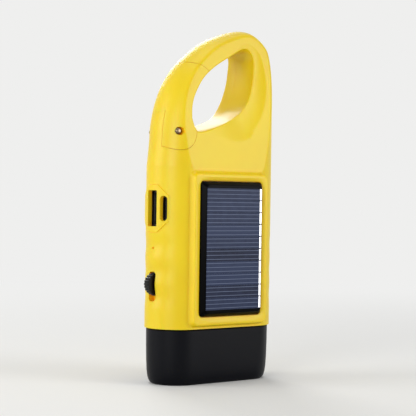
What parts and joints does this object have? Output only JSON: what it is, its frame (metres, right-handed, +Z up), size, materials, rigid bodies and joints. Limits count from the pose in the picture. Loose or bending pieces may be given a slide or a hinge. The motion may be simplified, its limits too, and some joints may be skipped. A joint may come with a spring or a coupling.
{
  "type": "hand crank flashlight",
  "caption": "Hand crank flashlight standing on its lens, with a carabiner loop and spring gate, a solar panel, side charging ports, a slide switch and a folding crank on its back.",
  "frame": {"origin": "middle of the whole part's box, switch knob included, on the plane the flashlight stands on; the body's own middle is at X 1.15 mm", "axes": "+Z up from the lens to the carabiner loop, +X to the right as the solar panel is looked at, +Y from the solar panel to the crank"},
  "size_m": [0.0587, 0.0331, 0.14],
  "materials": {
    "yellow_abs": "satin moulded ABS",
    "black_abs": "fine matt moulded ABS",
    "clear_plastic": "clear polished acrylic",
    "seal_rubber": "matt",
    "bright_reflector": "vacuum metallised",
    "green_board": "solder resist on glass fibre",
    "panel_epoxy": "poured clear epoxy over black",
    "blue_silicon": "blue silicon under epoxy",
    "silver_strip": "printed silver",
    "steel": "plain bright steel",
    "white_gear_plastic": "moulded acetal",
    "brass": "turned",
    "copper_wire": "enamelled winding wire",
    "dark_magnet": "sintered",
    "battery_foil": "laminated foil pouch"
  },
  "bodies": {
    "housing": {"main_housing": "yellow_abs", "back_cover": "yellow_abs", "housing_screw_1": "steel", "housing_screw_2": "steel", "housing_screw_3": "steel", "housing_screw_4": "steel", "gate_pin": "steel", "gate_spring": "steel", "head_bezel": "black_abs", "front_lens": "clear_plastic", "lens_seal": "seal_rubber", "reflector": "bright_reflector", "lamp_board": "green_board", "lamp_1": "clear_plastic", "lamp_2": "clear_plastic", "lamp_3": "clear_plastic", "lamp_board_screw_1": "steel", "lamp_board_screw_2": "steel", "solar_panel": "panel_epoxy", "solar_cells": "blue_silicon", "solar_busbar": "silver_strip", "circuit_board": "green_board", "circuit_board_screw_1": "steel", "circuit_board_screw_2": "steel", "wide_socket": "steel", "wide_socket_tongue": "black_abs", "small_socket": "steel", "small_socket_tongue": "black_abs", "indicator_light_pipe": "clear_plastic", "switch_body": "black_abs", "battery_cell": "battery_foil", "gear_plate": "white_gear_plastic", "gear_plate_screw_1": "steel", "gear_plate_screw_2": "steel", "gear_plate_screw_3": "steel", "gear_plate_screw_4": "steel", "idler_axle_1": "steel", "idler_axle_2": "steel", "stator_can": "steel", "stator_coil": "copper_wire", "crank_bushing": "brass"},
    "gate": {"gate": "yellow_abs"},
    "switch": {"switch_slider": "black_abs"},
    "crank": {"crank_arm": "yellow_abs", "crank_shaft": "steel", "crank_gear": "white_gear_plastic", "crank_screw": "steel", "grip_pin": "steel"},
    "grip": {"crank_grip": "black_abs"},
    "idler_1": {"idler_gear_1": "white_gear_plastic"},
    "idler_2": {"idler_gear_2": "white_gear_plastic"},
    "rotor": {"rotor_pinion": "white_gear_plastic", "rotor_shaft": "steel", "rotor_magnet": "dark_magnet"}
  },
  "joints": [
    {"name": "gate_hinge", "type": "hinge", "parent": "housing", "child": "gate", "pos_m": [-0.02125, 0, 0.098], "axis": [0, 1, 0], "range_deg": [0, 22], "stiffness_Nm_per_rad": 0.03, "springref_deg": -28.65, "deforming": ["gate_spring"]},
    {"name": "switch_slide", "type": "slide", "parent": "housing", "child": "switch", "axis": [0, 0, -1], "range_m": [0, 0.002]},
    {"name": "crank_spin", "type": "hinge", "parent": "housing", "child": "crank", "pos_m": [0.00115, 0, 0.0645], "axis": [0, 1, 0], "continuous": true},
    {"name": "grip_fold", "type": "hinge", "parent": "crank", "child": "grip", "pos_m": [0.00115, 0.01475, 0.0278], "axis": [-1, 0, 0], "range_deg": [0, 90]},
    {"name": "idler_1_spin", "type": "hinge", "parent": "housing", "child": "idler_1", "pos_m": [-0.00725, 0, 0.04995], "axis": [0, 1, 0], "continuous": true},
    {"name": "idler_2_spin", "type": "hinge", "parent": "housing", "child": "idler_2", "pos_m": [0.00363, 0, 0.04488], "axis": [0, 1, 0], "continuous": true},
    {"name": "rotor_spin", "type": "hinge", "parent": "housing", "child": "rotor", "pos_m": [0.01522, 0, 0.04177], "axis": [0, 1, 0], "continuous": true}
  ],
  "couplings": [
    {"joint": "idler_1_spin", "follows": "crank_spin", "ratio": -3.6667},
    {"joint": "idler_2_spin", "follows": "crank_spin", "ratio": 11},
    {"joint": "rotor_spin", "follows": "crank_spin", "ratio": -33}
  ]
}
